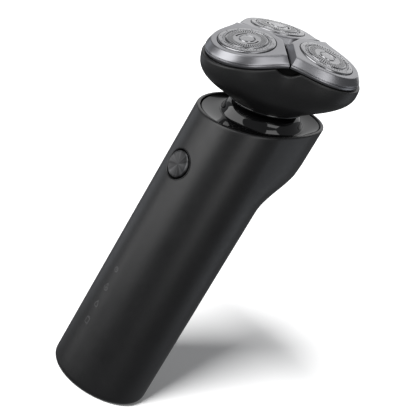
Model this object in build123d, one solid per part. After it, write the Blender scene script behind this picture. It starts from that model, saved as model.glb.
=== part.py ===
from build123d import *
import os
from math import acos, asin, cos, hypot, pi, radians, sin, tan

# Rotary electric shaver with a floating three-lobe head, in millimetres.
# Origin: centre of the base it stands on. +Z runs up the handle, the button faces -Y.

# ---- Driving dimensions ----
handle_radius = 20.5
handle_back = 28.4            # how far the back reaches behind the axis at the top
back_power = 2.6              # squareness of the back at the top (2 is round)
bulge_low = 85.0              # the back starts to swell here
bulge_high = 116.0            # and is fully grown here
waist = 80.0                  # the handle is a plain cylinder below this
wall = 1.8
base_fillet = 3.0
floor_thickness = 2.5
slant = 19.5                  # forward lean of the deck and of the head's axis, degrees
rim_height = 124.7            # height of the rim's plane on the handle's axis
rim_wall = 1.3
head_centre_y = -4.8          # centre of the shaving plane
head_centre_z = 153.7

button_height = 96.7
button_radius = 5.4
button_travel = 0.6
switch_depth = 3.0            # push switch, plunger included
icon_heights = (49.0, 41.0, 33.0, 25.0)
icon_stroke = 0.38
icon_depth = 0.3
light_radius = 0.55           # bores that carry light to the status marks
light_skin = 0.4              # thickness of the wall left in front of them

petal_offset = 17.2           # head axis to the middle of each shaving unit
petal_tilts = (11.0, 11.0, 4.5)   # each unit leans outwards, degrees; the back one floats flatter
lobe_mean = 26.9              # three-lobed outline: mean radius
lobe_depth = 5.5              # and how much it swells at each unit
slot_width = 1.7              # gap between neighbouring units at their lower band
slot_mouth = 3.5              # and between their faces
spindle_tip = 0.8             # radius of the spindles' ball tips
petal_height = 4.0
petal_seam = 0.45             # gap between a unit and the shell below it
notch_radius = 6.0            # round dip in the shell's edge under each slot
notch_height = 1.2            # and its centre above the shaving plane
cap_hole_radius = 10.7
cap_radius = 10.5
cap_travel = 0.8

gear_module = 0.8
centre_teeth = 15
drive_teeth = 26
gear_thickness = 2.8
gear_base = -11.4             # underside of the gears, in the head's frame
spindle_offset = gear_module * (centre_teeth + drive_teeth) / 2

pivot_drop = 19.5             # shaving plane down to the centre of the gimbal
neck_radius = 15.1
motor_radius = 9.0
socket_width = 8.9            # charging socket
socket_height = 3.2
board_y = -8.5                # circuit board and charging socket
board_thickness = 1.2
battery_radius = 9.1
battery_low = 21.0
battery_high = 71.0
battery_y = 3.6

# ---- Frames ----
head = Pos(0, head_centre_y, head_centre_z) * Rot(X=slant)
deck_drop = (head_centre_z - rim_height) * cos(radians(slant)) - head_centre_y * sin(radians(slant))
deck = head * Pos(0, 0, -deck_drop)          # where the head's axis meets the rim's plane
gimbal = head * Pos(0, 0, -pivot_drop)
seats = [Rot(Z=120 * n) * Pos(0, -petal_offset, 0) * Rot(X=petal_tilts[n]) for n in range(3)]
units = [head * seat for seat in seats]
spindles = [head * Rot(Z=120 * n) * Pos(0, -spindle_offset, 0) for n in range(3)]


# ---- General helpers ----
def turned(points):
    """A body of revolution about Z from an outline of (radius, height) corners."""
    return revolve(Plane.XZ * make_face(Polyline(*points, close=True)), Axis.Z)


def ring(inner, outer, low, high):
    """A flat ring between two radii and two heights."""
    return turned([(inner, low), (outer, low), (outer, high), (inner, high)])


def rod(radius, low, high):
    """A cylinder along Z between two heights."""
    return Pos(0, 0, low) * Cylinder(radius, high - low, align=(Align.CENTER, Align.CENTER, Align.MIN))


def block(x, y, z):
    """A box given by its (low, high) pairs."""
    size = [pair[1] - pair[0] for pair in (x, y, z)]
    middle = [(pair[1] + pair[0]) / 2 for pair in (x, y, z)]
    return Pos(*middle) * Box(*size)


def rod_forward(radius, low_y, high_y, height, x=0.0):
    """A cylinder along Y."""
    return Pos(x, high_y, height) * Rot(X=90) * rod(radius, 0, high_y - low_y)


def slot_prism(width, height, low, high):
    """A prism with a stadium-shaped section, standing along Z."""
    return Pos(0, 0, low) * extrude(SlotOverall(width, height), high - low)


def around(count, radius, shape, start=0.0):
    """Copies of a shape on a circle about Z."""
    return [Rot(Z=start + 360 / count * n) * Pos(radius, 0, 0) * shape for n in range(count)]


def screw_hole(length):
    """A countersunk hole whose mouth is at z = 0 and which runs down."""
    return turned([(0, 0), (1.7, 0), (1.7, -0.3), (0.85, -1.15), (0.85, -length), (0, -length)])


def screw(length):
    """A small cross-head screw that fills its hole."""
    recess = Pos(0, 0, -0.35) * Box(2.2, 0.45, 0.7) + Pos(0, 0, -0.35) * Box(0.45, 2.2, 0.7)
    return screw_hole(length) - recess


def save(name, shape):
    """One node: one file, named after the node."""
    solids = shape if isinstance(shape, list) else list(shape.solids())
    part = solids[0] if len(solids) == 1 else Compound(children=[Solid(s.wrapped) for s in flat(solids)])
    export_step(part, f"parts/{name}.step")


def flat(shapes):
    """All the solids of a list of shapes."""
    return [solid for shape in shapes for solid in shape.solids()]


# ---- Handle ----
def smooth_step(value, low, high):
    """Rises from 0 to 1 between low and high without a corner."""
    t = min(1.0, max(0.0, (value - low) / (high - low)))
    return t * t * (3 - 2 * t)


def wall_outline(height, inset):
    """The handle's outline at a height: round in front, swelling to a squarer back."""
    growth = smooth_step(height, bulge_low, bulge_high)
    side = handle_radius - inset
    if growth == 0:
        return Pos(0, 0, height) * Circle(side)
    back = handle_radius + (handle_back - handle_radius) * growth - inset
    power = 2 / (2 + (back_power - 2) * growth)
    points = []
    for step in range(48):
        angle = 2 * pi * step / 48
        across, along = cos(angle), sin(angle)
        if along <= 1e-9:
            points.append((side * across, side * along))
        else:
            sign = 1 if across > 0 else -1
            points.append((side * sign * abs(across) ** power, back * along ** power))
    return Pos(0, 0, height) * make_face(Spline(*points, periodic=True))


def handle_top(inset):
    """The swelling upper part of the handle's form, from the round waist to above the rim."""
    heights = (waist, bulge_low, 90, 95, 100, 105, 110, bulge_high, 122, 130, 140)
    return loft([wall_outline(height, inset) for height in heights])


def rounded_column():
    """The round lower part of the handle with its rounded bottom edge."""
    foot = handle_radius - base_fillet
    middle = base_fillet * (1 - cos(pi / 4))
    outline = [
        Polyline((0, waist), (0, 0), (foot, 0)),
        ThreePointArc((foot, 0), (handle_radius - middle, middle), (handle_radius, base_fillet)),
        Polyline((handle_radius, base_fillet), (handle_radius, waist), (0, waist)),
    ]
    return revolve(Plane.XZ * make_face(outline), Axis.Z)


def above_deck(distance):
    """Everything further than a distance above the rim's plane."""
    return deck * Pos(0, 0, distance + 50) * Box(140, 140, 100)


def deck_slab(low, high):
    """The space between two planes parallel to the rim."""
    return deck * Pos(0, 0, (low + high) / 2) * Box(140, 140, high - low)


def drop(size):
    """A water drop standing on its round end, its centre of height at the origin."""
    tangent = make_face(Polyline(
        (-0.832 * size, 0.556 * size), (0.832 * size, 0.556 * size), (0, 1.8 * size), close=True,
    ))
    return Pos(0, -0.4 * size) * (Circle(size) + tangent)


def icon_faces():
    """Generic status marks in outline: a ring, two drops and a battery."""
    stroke = icon_stroke
    target = Circle(1.1) - Circle(1.1 - stroke) + Circle(0.3)
    cleaning = drop(1.25) - Pos(0, -0.4 * stroke) * drop(1.25 - stroke) + Pos(0, -0.35) * drop(0.4)
    wet = drop(1.1) - Pos(0, -0.4 * stroke) * drop(1.1 - stroke)
    cell = Rectangle(2.2, 2.8) - Rectangle(2.2 - 2 * stroke, 2.8 - 2 * stroke)
    cell += Pos(0, 1.55) * Rectangle(1.0, 0.4)
    return [target, cleaning, wet, cell]


def icon_prisms():
    """The status marks as prisms that cross the front wall's outer skin."""
    prisms = []
    for face, height in zip(icon_faces(), icon_heights):
        upright = Pos(0, -handle_radius + 1, height) * Rot(X=90) * face
        prisms.append(extrude(upright, 2, dir=(0, -1, 0)))
    return prisms


def icon_skin(outer_radius):
    """The layer of the front wall that holds the marks."""
    low = icon_heights[-1] - 5
    high = icon_heights[0] + 5
    return ring(handle_radius - icon_depth, outer_radius, low, high)


def status_icons():
    """Thin inlays, flush with the handle."""
    return [prism & icon_skin(handle_radius) for prism in icon_prisms()]


def handle_shell():
    outer = rounded_column() + handle_top(0) - above_deck(0)
    shell = outer - (rod(handle_radius - wall, floor_thickness, waist) + handle_top(wall))
    shell -= handle_top(rim_wall) & above_deck(-4.8)
    shell -= rod(14.5, -1, 1.4) + rod(12.5, 1, 4)
    boss = rod_forward(7.6, -20, -16.9, button_height) & (rod(handle_radius - 0.5, 70, waist) + handle_top(0.5))
    shell += boss
    shell -= rod_forward(5.95, -25, -16, button_height)
    for prism in icon_prisms():
        shell -= prism & icon_skin(handle_radius + 2)
    for height in icon_heights:
        shell -= rod_forward(light_radius, -handle_radius + light_skin, -17, height)
    return shell


def base_cap():
    cap = rod(14.3, 0, 1.3) + rod(12.3, 1.3, 2.4)
    cap -= ring(11.7, 12.4, 1.6, 2.2)
    cap -= Pos(0, board_y, 0) * slot_prism(socket_width + 0.5, socket_height + 0.5, -1, 3)
    for place in base_screw_places():
        cap -= place * screw_hole(6)
    return cap


def base_screw_places():
    return [Pos(x, 5, 0) * Rot(X=180) for x in (-8, 8)]


def charge_socket():
    sleeve = slot_prism(socket_width, socket_height, 0.4, 7.4)
    sleeve -= slot_prism(socket_width - 0.6, socket_height - 0.6, 0, 7.1)
    return Pos(0, board_y, 0) * sleeve


def socket_tongue():
    return Pos(0, board_y, 0) * block((-3.3, 3.3), (-0.35, 0.35), (1.4, 7.1))


def socket_gasket():
    seal = slot_prism(socket_width + 1.6, socket_height + 1.6, 2.9, 3.9)
    return Pos(0, board_y, 0) * (seal - slot_prism(socket_width + 0.1, socket_height + 0.1, 2, 5))


def chassis():
    """Inner frame: a floor, a half-round spine behind the cell and two bulkheads."""
    frame = rod(18.2, 2.8, 4.8)
    spine = ring(16.6, 18.2, 2.8, 84) & block((-20, 20), (1, 20), (0, 90))
    frame += spine
    for low, high in ((battery_low - 2, battery_low - 0.5), (battery_high + 0.5, battery_high + 2)):
        bulkhead = rod(17.4, low, high) - block((-20, 20), (-20, board_y + 1.2), (low - 1, high + 1))
        frame += bulkhead
    for x in (-13.6, 13.6):
        frame += block((x - 0.8, x + 0.8), (board_y + 1.4, 4), (4, battery_high + 2))
    for place in base_screw_places():
        frame -= place * screw_hole(6)
    frame -= Pos(0, board_y, 0) * slot_prism(socket_width + 1.8, socket_height + 1.8, 0, 6)
    frame -= block((-12, 12), (board_y - 1.0, board_y + 1.0), (4.0, 9))
    return frame


def battery():
    cell = rod(battery_radius, battery_low, battery_high - 0.8) + rod(3, battery_high - 0.8, battery_high)
    return Pos(0, battery_y, 0) * cell


def battery_tabs():
    """Welded strips on the cell's ends, each bent forward to the board."""
    tabs = []
    for low, side in ((battery_low - 0.35, -4), (battery_high + 0.1, 4)):
        strip = block((-1.8, 1.8), (-1.5, battery_y + 3), (low, low + 0.25))
        arm = block((min(0, side) - 0.9, max(0, side) + 0.9), (-2.4, -1.5), (low, low + 0.25))
        reach = block((side - 0.9, side + 0.9), (board_y + 0.7, -2.4), (low, low + 0.25))
        tabs.append(strip + arm + reach)
    return tabs


def circuit_board():
    half = board_thickness / 2
    board = block((-9, 9), (board_y - half, board_y + half), (7.6, 102))
    for height in (12, 99.5):
        for x in (-7.4, 7.4):
            board -= rod_forward(0.9, -15, -8, height, x)
    return board


def board_chips():
    front = board_y - board_thickness / 2
    back = board_y + board_thickness / 2
    spots = ((60, 2.6, 1.0), (71, 1.6, 0.7), (81, 2.0, 0.8), (52, 1.2, 0.6))
    chips = [block((-half, half), (front - tall, front), (z - half, z + half)) for z, half, tall in spots]
    chips.append(block((2.4, 5.4), (back, back + 1.2), (84, 87)))
    return chips


def power_switch():
    front = board_y - board_thickness / 2
    shoulder = front - switch_depth + 0.6
    body = block((-3, 3), (shoulder, front), (button_height - 3, button_height + 3))
    return body + rod_forward(1.4, front - switch_depth, shoulder, button_height)


def status_leds():
    front = board_y - board_thickness / 2
    return [block((-0.8, 0.8), (front - 0.7, front), (z - 0.5, z + 0.5)) for z in icon_heights]


def light_guide():
    guide = block((-1.5, 1.5), (-17.4, -16.6), (icon_heights[-1] - 2.5, icon_heights[0] + 2.5))
    for height in icon_heights:
        guide += rod_forward(light_radius - 0.05, -handle_radius + light_skin + 0.05, -16.8, height)
        guide += rod_forward(0.9, -17.0, board_y - 1.8, height)
    return guide


def power_button():
    front = -handle_radius + 0.1
    button = rod_forward(button_radius, front, front + 2.2, button_height)
    button = chamfer(button.faces().sort_by(Axis.Y)[0].edges(), 0.45)
    stem_end = board_y - board_thickness / 2 - switch_depth - button_travel - 0.2
    return button + rod_forward(2.1, front + 2.2, stem_end, button_height)


def button_seal():
    seal = rod_forward(7.4, -16.85, -16.25, button_height)
    return seal - rod_forward(2.35, -18, -15, button_height)


# ---- Deck, motor and drive ----
def deck_screw_places():
    return [deck * Pos(x, 0, -1.5) for x in (-11, 11)]


def latch_discs(low, high):
    return [deck * shape for shape in around(4, 11, rod(1.5, low, high), 45)]


def deck_plate():
    """Glossy dish inside the rim, flat where the neck stands, with a locating boss."""
    plate = handle_top(rim_wall + 0.4) & deck_slab(-4.2, -0.45)
    dish_outline = [
        Line((0, -1.5), (15.2, -1.5)),
        ThreePointArc((15.2, -1.5), (22, -1.15), (29, -0.1)),
        Polyline((29, -0.1), (29, 3), (0, 3), (0, -1.5)),
    ]
    dish = revolve(Plane.XZ * make_face(dish_outline), Axis.Z)
    plate -= deck * dish
    plate += deck * ring(4.0, 7.6, -1.6, 1.2)
    plate -= deck * rod(4.0, -6, 3)
    for place in deck_screw_places():
        plate -= place * screw_hole(6)
    for disc in latch_discs(-2.4, -1.5):
        plate -= disc
    return plate


def deck_gasket():
    band = handle_top(rim_wall + 0.05) - handle_top(rim_wall + 0.35)
    return band & deck_slab(-3.4, -2.0)


def shaft_seal():
    return deck * turned([(1.2, -3.8), (3.9, -3.8), (3.9, -1.9), (2.6, -1.9), (1.2, -2.4)])


def motor_plate():
    """Bracket under the deck that carries the motor."""
    plate = ring(2.8, 12.9, -6.6, -5.4) + Pos(-11, 0, -4.9) * Box(4, 6, 1.4) + Pos(11, 0, -4.9) * Box(4, 6, 1.4)
    plate = deck * plate
    for place in deck_screw_places():
        plate -= place * screw_hole(6)
    for place in motor_screw_places():
        plate -= place * screw_hole(2.6)
    return plate


def motor_screw_places():
    return [deck * Pos(0, y, -5.4) for y in (-6, 6)]


def motor_can():
    can = turned([
        (2.6, -7.8), (8.2, -7.8), (8.2, -26.5), (motor_radius, -26.5),
        (motor_radius, -7.2), (8.5, -6.7), (2.6, -6.7),
    ])
    can = deck * can
    for place in motor_screw_places():
        can -= place * screw_hole(2.6)
    return can


def motor_magnets():
    """Two curved magnets inside the can."""
    band = ring(6.8, 8.15, -22, -10) - Box(5, 40, 80)
    return [deck * solid for solid in band.solids()]


def motor_bushing():
    return deck * ring(1.05, 2.55, -9, -6.2)


def motor_end_cap():
    cap = ring(1.1, motor_radius, -28.5, -26.55) + ring(1.1, 3, -26.6, -24.5)
    for x in (-5.5, 5.5):
        cap += Pos(x, 0, -29.5) * Box(1.6, 0.5, 2.2)
    return deck * cap


def motor_shaft():
    return deck * rod(1.0, -27.5, 3)


def rotor_core():
    """Three-pole laminated rotor."""
    core = ring(1.0, 3.0, -21, -11)
    for n in range(3):
        pole = Pos(4.4, 0, -16) * Box(3.4, 1.8, 10)
        shoe = ring(5.2, 6.3, -21, -11) & Pos(6, 0, -16) * Box(6, 8.4, 12)
        core += Rot(Z=120 * n) * (pole + shoe)
    return deck * core


def drive_socket():
    """Hexagonal socket that turns the ball end of the head's drive shaft."""
    socket_top = deck_drop - pivot_drop + 1.3
    socket = rod(3.0, -0.6, socket_top)
    socket -= rod(1.0, -1, 3)
    socket -= Pos(0, 0, socket_top - 3.8) * extrude(RegularPolygon(2.2, 6, major_radius=False), 5)
    return deck * socket


# ---- Neck and gimbal ----
def neck_collar():
    """Glossy convex collar that stands on the deck and carries two pivot ears."""
    pivot = deck_drop - pivot_drop
    outline = [
        Polyline((7.8, -1.45), (14.9, -1.45), (neck_radius, -1.2)),
        ThreePointArc((neck_radius, -1.2), (14.6, 1.5), (12.2, 3.1)),
        Polyline(
            (12.2, 3.1), (10.6, 3.4), (10.6, 5.7), (9.2, 5.7), (9.2, 2.2),
            (12.2, 1.7), (13.0, 0.9), (13.0, -0.25), (7.8, -0.25), (7.8, -1.45),
        ),
    ]
    collar = revolve(Plane.XZ * make_face(outline), Axis.Z)
    collar += ring(9.2, 10.6, 5.0, pivot + 1.7) & Box(40, 5.6, 80)
    collar -= Pos(0, 0, pivot) * Rot(Y=90) * Cylinder(1.05, 40)
    collar = deck * collar
    for magnet in latch_discs(-1.1, -0.25):
        collar -= magnet
    return collar


def gimbal_ring():
    body = ring(5.6, 8.6, -1.5, 1.5)
    body -= Rot(Y=90) * Cylinder(1.0, 40)
    body -= Rot(X=90) * Cylinder(1.0, 40)
    return gimbal * body


def gimbal_pins():
    pin = Rot(Y=90) * rod(1.0, 6.2, 10.5)
    return [gimbal * Rot(Z=90 * n) * pin for n in range(4)]


def centering_spring():
    """Coil between the neck and the gear plate that brings the head back upright."""
    path = Helix(pitch=1.75, height=8.75, radius=5.0)
    section = Plane(path @ 0, z_dir=path % 0) * Circle(0.25)
    coil = sweep(section, path=path, is_frenet=True)
    return gimbal * Pos(0, 0, -3.2) * coil


# ---- Head ----
def lobed_outline(mean, depth, height):
    """Closed three-lobed curve; a lobe points to -Y."""
    points = []
    for step in range(48):
        angle = 2 * pi * step / 48
        radius = mean + depth * cos(3 * angle) - 0.044 * depth * cos(6 * angle)
        points.append((radius * sin(angle), -radius * cos(angle)))
    return Pos(0, 0, height) * make_face(Spline(*points, periodic=True))


def lobed_plate(mean, depth, low, high):
    return extrude(lobed_outline(mean, depth, low), high - low)


def bowl(inset, low_extra):
    """The head's outer form, from a lobed top to a round bottom."""
    sections = (
        (0, lobe_mean, lobe_depth), (-5, lobe_mean, lobe_depth), (-9.3, 26.85, 5.45), (-12, 26.3, 5.2),
        (-14.6, 24.9, 4.5), (-17.4, 22.5, 3.1), (-20, 19.3, 1.6), (-22, 16.6, 0.6), (-23.4, 14.6, 0.0),
    )
    faces = [lobed_outline(mean - inset, depth, z) for z, mean, depth in sections]
    if low_extra:
        faces.append(lobed_outline(sections[-1][1] - inset - 0.1, 0, sections[-1][0] - low_extra))
    return loft(faces)


def unit_sector(inset, gap, low, high, inner=2.6, lift=0.0):
    """Prism of one shaving unit in its own frame: a lobe cut off by the two slots."""
    half = radians(60)
    limit = half - 0.001
    mean = lobe_mean - inset
    points = []
    steps = 25
    for step in range(steps):
        angle = -limit + 2 * limit * step / (steps - 1)
        radius = mean + lobe_depth * cos(3 * angle) - 0.044 * lobe_depth * cos(6 * angle)
        turn = asin(gap / 2 / radius)
        angle *= (half - turn) / half
        points.append((radius * sin(angle), petal_offset - radius * cos(angle)))
    start, end = points[0], points[-1]
    near = gap / 2 / sin(half)
    inner_left = (-inner * sin(half), petal_offset - near - inner * cos(half))
    inner_right = (-inner_left[0], inner_left[1])
    face = make_face([Spline(*points), Line(end, inner_right), Line(inner_right, inner_left), Line(inner_left, start)])
    if lift:
        return face
    return Pos(0, 0, low) * extrude(face, high - low)


def petal(number):
    """Metal unit top: flat face, skirt all round, lower band, a round hole and two lugs."""
    levels = (                # height, inset at the rim, gap at the slots, length of the slot's open corner
        (0.0, 2.1, slot_mouth, 5.0),
        (-0.35, 1.75, slot_mouth - 0.3, 4.8),
        (-2.6, 0.2, slot_width + 0.15, 3.8),
        (-2.75, 0.0, slot_width, 3.6),
        (-petal_height, 0.0, slot_width + 0.2, 3.6),
    )
    faces = [Pos(0, 0, level[0]) * unit_sector(level[1], level[2], 0, 0, level[3], lift=1) for level in levels]
    body = loft(faces, ruled=True)
    inner_gap = slot_width + 2.4
    body -= unit_sector(2.9, inner_gap, -petal_height - 1, -1.2, inner=4.8)
    body -= unit_sector(1.1, inner_gap, -petal_height - 1, -2.6, inner=4.8)
    body -= rod(cap_hole_radius, -6, 3)
    for side in (-1, 1):
        lug = block((12.3, 13.5), (-1.3, 1.3), (-4.4, -1.1)) + Pos(12.9, 0, -4.4) * Rot(Y=90) * Cylinder(1.3, 1.2)
        lug -= Pos(12.9, 0, -4.4) * Rot(Y=90) * Cylinder(0.85, 3)
        body += lug if side > 0 else mirror(lug, Plane.YZ)
    return units[number] * body


def cap(number):
    """Perforated shaving cap: raised track with slits, groove, outer ring and a flange."""
    body = turned([
        (0, 0.95), (2.6, 0.95), (2.75, 0.8), (7.2, 0.8), (7.6, 0.45), (7.65, 0.15), (8.05, 0.15),
        (8.1, 0.5), (9.6, 0.45), (cap_radius, 0.1), (cap_radius, -1.3), (11.2, -1.3), (11.2, -2.1),
        (9.9, -2.1), (9.9, -2.9), (9.2, -2.9), (9.2, -0.6), (7.9, -0.4), (7.6, 0.2), (2.9, 0.2),
        (2.4, 0.3), (0, 0.3),
    ])
    slit = Pos(6.0, 0, 0.5) * Box(2.0, 0.3, 2)
    body -= Compound(children=flat(around(48, 0, slit)))
    crescent = ring(3.5, 4.1, 0, 2) & Pos(4, 0, 1) * Box(8, 4.6, 4)
    body -= crescent + Rot(Z=180) * crescent
    return units[number] * body


def cutter(number):
    """Steel cutter: a dished disc with standing blades and a socket below."""
    bore = spindle_tip + 0.85
    body = ring(bore, 7.3, -1.6, -1.0) + ring(bore, bore + 0.75, -3.6, -1.0) + rod(bore + 0.75, -1.6, -0.9)
    blade = Pos(5.5, 0, -0.5) * Rot(X=-20) * Box(3.6, 0.45, 1.25)
    body += Compound(children=flat(around(9, 0, blade)))
    return units[number] * body


def gear_outline(teeth):
    """Spur gear outline with involute flanks and a little backlash."""
    pitch_radius = gear_module * teeth / 2
    base_radius = pitch_radius * cos(radians(20))
    tip_radius = pitch_radius + 0.85 * gear_module
    root_radius = pitch_radius - 1.15 * gear_module
    backlash = 0.14
    half_tooth = (pi * gear_module / 2 - backlash) / 2 / pitch_radius

    def flank_angle(radius):
        """Angle from the tooth's middle to its flank at a radius."""
        def involute(at):
            pressure = acos(min(1.0, base_radius / at))
            return tan(pressure) - pressure
        return half_tooth + involute(pitch_radius) - involute(max(radius, base_radius))

    start = max(base_radius, root_radius)
    radii = [start + (tip_radius - start) * step / 3 for step in range(4)]
    points = []
    for tooth in range(teeth):
        middle = 2 * pi * tooth / teeth
        rising = [(radius, middle - flank_angle(radius)) for radius in radii]
        falling = [(radius, middle + flank_angle(radius)) for radius in reversed(radii)]
        foot = flank_angle(start)
        corners = [(root_radius, middle - foot)] + rising + falling + [(root_radius, middle + foot)]
        points += [(radius * cos(angle), radius * sin(angle)) for radius, angle in corners]
    unique = [points[0]]
    for x, y in points[1:]:
        if hypot(x - unique[-1][0], y - unique[-1][1]) > 1e-4:
            unique.append((x, y))
    return make_face(Polyline(*unique, close=True))


def gear_wheel(teeth):
    return Pos(0, 0, gear_base) * extrude(gear_outline(teeth), gear_thickness)


def centre_gear():
    """Middle gear with a drive shaft whose hexagonal ball end sits at the gimbal's centre."""
    gear = Rot(Z=-90) * gear_wheel(centre_teeth)
    gear += rod(1.5, gear_base + 1, -7.1) + rod(1.25, -pivot_drop, gear_base + 1)
    ball = Sphere(2.1) & extrude(RegularPolygon(1.85, 6, major_radius=False), 6, both=True)
    gear += Pos(0, 0, -pivot_drop) * ball
    return head * gear


def drive_gear(number):
    """Outer gear with a tubular hub, journalled in the plate and the cover."""
    gear = Rot(Z=90 + 180 / drive_teeth) * gear_wheel(drive_teeth)
    gear += rod(2.2, -13.2, gear_base) + rod(3.0, gear_base, -6.7)
    gear -= rod(1.5, -12.7, -5)
    return spindles[number] * gear


def spindle(number):
    """Telescopic drive spindle with a rounded tip in the cutter's socket."""
    shaft = rod(1.42, -10.0, -5.0) + rod(spindle_tip, -5.0, -3.0) + Pos(0, 0, -3.0) * Sphere(spindle_tip)
    return spindles[number] * shaft


def spindle_springs():
    """Springs inside the gear hubs that push the spindles up."""
    path = Helix(pitch=0.62, height=2.2, radius=1.1)
    section = Plane(path @ 0, z_dir=path % 0) * Circle(0.16)
    coil = Pos(0, 0, -12.5) * sweep(section, path=path, is_frenet=True)
    return [place * coil for place in spindles]


def gear_plate():
    """Floor of the gear case, with two ears for the roll pins."""
    plate = lobed_plate(21.6, 4.8, -13.4, -12.0) - rod(1.32, -15, -10)
    for n in range(3):
        plate -= Rot(Z=120 * n) * Pos(0, -spindle_offset, 0) * rod(2.25, -15, -10)
        plate += Rot(Z=120 * n) * Pos(0, 15, 0) * rod(2.0, -12.1, -8.25)
    ears = ring(9.2, 10.6, -pivot_drop - 1.5, -13.0) & Box(5.6, 40, 80)
    plate += ears
    plate -= Pos(0, 0, -pivot_drop) * Rot(X=90) * Cylinder(1.05, 40)
    plate = head * plate
    for place in gearbox_screw_places():
        plate -= place * screw_hole(4.5)
    return plate


def gearbox_screw_places():
    return [head * Rot(Z=120 * n) * Pos(0, 15, -7.0) for n in range(3)]


def gearbox_cover():
    cover = lobed_plate(22.4, 4.9, -8.2, -7.0)
    cover -= rod(1.56, -10, -5)
    for n in range(3):
        cover -= Rot(Z=120 * n) * Pos(0, -spindle_offset, 0) * rod(3.06, -10, -5)
    cover = head * cover
    for place in gearbox_screw_places():
        cover -= place * screw_hole(4.5)
    return cover


def cutter_frame():
    """Black frame under the metal units, with posts that hold their pivot pins."""
    frame = head * lobed_plate(24.4, 5.1, -6.9, -5.95)
    for place in units:
        posts = block((-12.1, -10.9), (-1.5, 1.5), (-6.8, -3.45)) + block((10.9, 12.1), (-1.5, 1.5), (-6.8, -3.45))
        frame += place * posts
        frame -= place * Pos(0, 0, -4.4) * Rot(Y=90) * Cylinder(0.8, 30)
        frame -= place * rod(10.6, -12, 0)
    return frame


def petal_pins():
    pin = Pos(0, 0, -4.4) * Rot(Y=90) * rod(0.8, 10.9, 13.7)
    return [place * Rot(Z=turn) * pin for place in units for turn in (0, 180)]


def head_shell():
    """Matt bowl whose upper edge follows the tilted units and dips under the slots between them."""
    shell = bowl(0, 0) - bowl(1.8, 1.0)
    shell -= head_wedge_cut()
    for n in range(3):
        shell -= Rot(Z=120 * n + 60) * Pos(0, -20, notch_height) * Rot(X=90) * Cylinder(notch_radius, 12)
    return head * shell


def head_wedge_cut():
    """Space above the shell's edge: one tilted wedge for each unit."""
    cut = None
    for n in range(3):
        reach = 50
        wedge_face = make_face(Polyline(
            (0, petal_offset), (reach * sin(pi / 3), petal_offset - reach * cos(pi / 3)),
            (0, petal_offset - 1.3 * reach), (-reach * sin(pi / 3), petal_offset - reach * cos(pi / 3)),
            close=True,
        ))
        wedge = seats[n] * Pos(0, 0, -petal_height - petal_seam) * extrude(wedge_face, 20)
        cut = wedge if cut is None else cut + wedge
    return cut


def shell_ring():
    """Thin lip around the opening at the bottom of the head."""
    lip = turned([(12.7, -23.45), (14.5, -23.45), (14.5, -24.0), (14.2, -24.3), (12.9, -24.3), (12.7, -24.1)])
    return head * lip


def build():
    os.makedirs("parts", exist_ok=True)
    save("handle_shell", handle_shell())
    save("base_cap", base_cap())
    save("base_o_ring", ring(11.75, 12.45, 1.6, 2.2))
    save("case_screws", [place * screw(6) for place in base_screw_places() + deck_screw_places()])
    save("charge_socket", charge_socket())
    save("socket_tongue", socket_tongue())
    save("socket_gasket", socket_gasket())
    save("chassis", chassis())
    save("battery", battery())
    save("battery_tabs", battery_tabs())
    save("circuit_board", circuit_board())
    save("board_chips", board_chips())
    save("power_switch", power_switch())
    save("status_leds", status_leds())
    save("light_guide", light_guide())
    save("status_icons", status_icons())
    save("power_button", power_button())
    save("button_seal", button_seal())
    save("deck_plate", deck_plate())
    save("deck_gasket", deck_gasket())
    save("latch_plates", latch_discs(-2.4, -1.5))
    save("shaft_seal", shaft_seal())
    save("motor_plate", motor_plate())
    save("motor_screws", [place * screw(2.6) for place in motor_screw_places()])
    save("motor_can", motor_can())
    save("motor_magnets", motor_magnets())
    save("motor_bushing", motor_bushing())
    save("motor_end_cap", motor_end_cap())
    save("motor_shaft", motor_shaft())
    save("rotor_core", rotor_core())
    save("drive_socket", drive_socket())
    save("neck_collar", neck_collar())
    save("latch_magnets", latch_discs(-1.1, -0.25))
    save("gimbal_ring", gimbal_ring())
    save("gimbal_pins", gimbal_pins())
    save("centering_spring", centering_spring())
    save("head_shell", head_shell())
    save("shell_ring", shell_ring())
    save("gear_plate", gear_plate())
    save("gearbox_cover", gearbox_cover())
    save("gearbox_screws", [place * screw(4.5) for place in gearbox_screw_places()])
    save("cutter_frame", cutter_frame())
    save("petal_pins", petal_pins())
    save("centre_gear", centre_gear())
    save("spindle_springs", spindle_springs())
    for number in range(3):
        label = number + 1
        save(f"drive_gear_{label}", drive_gear(number))
        save(f"spindle_{label}", spindle(number))
        save(f"petal_{label}", petal(number))
        save(f"cap_{label}", cap(number))
        save(f"cutter_{label}", cutter(number))


build()
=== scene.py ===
from math import asin, atan2, cos, hypot, pi, radians, sin, tan

import bmesh
import bpy
from mathutils import Matrix, Vector

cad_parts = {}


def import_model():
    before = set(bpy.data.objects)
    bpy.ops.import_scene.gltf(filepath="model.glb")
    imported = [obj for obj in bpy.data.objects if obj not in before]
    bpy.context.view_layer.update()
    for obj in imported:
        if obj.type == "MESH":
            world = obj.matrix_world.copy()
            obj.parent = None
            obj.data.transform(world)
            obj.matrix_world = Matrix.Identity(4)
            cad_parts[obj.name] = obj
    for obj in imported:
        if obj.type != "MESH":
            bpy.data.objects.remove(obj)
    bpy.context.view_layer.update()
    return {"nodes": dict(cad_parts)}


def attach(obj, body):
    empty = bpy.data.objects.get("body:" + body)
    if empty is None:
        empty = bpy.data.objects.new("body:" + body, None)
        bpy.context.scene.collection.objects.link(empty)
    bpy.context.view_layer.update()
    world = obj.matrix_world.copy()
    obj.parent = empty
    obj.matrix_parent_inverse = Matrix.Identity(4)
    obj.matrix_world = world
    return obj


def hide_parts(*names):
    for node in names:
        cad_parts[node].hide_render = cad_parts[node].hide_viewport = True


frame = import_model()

# ---- Driving dimensions, in metres ----
MM = 0.001
HANDLE_R = 20.5 * MM
HANDLE_BACK = 28.4 * MM
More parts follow.
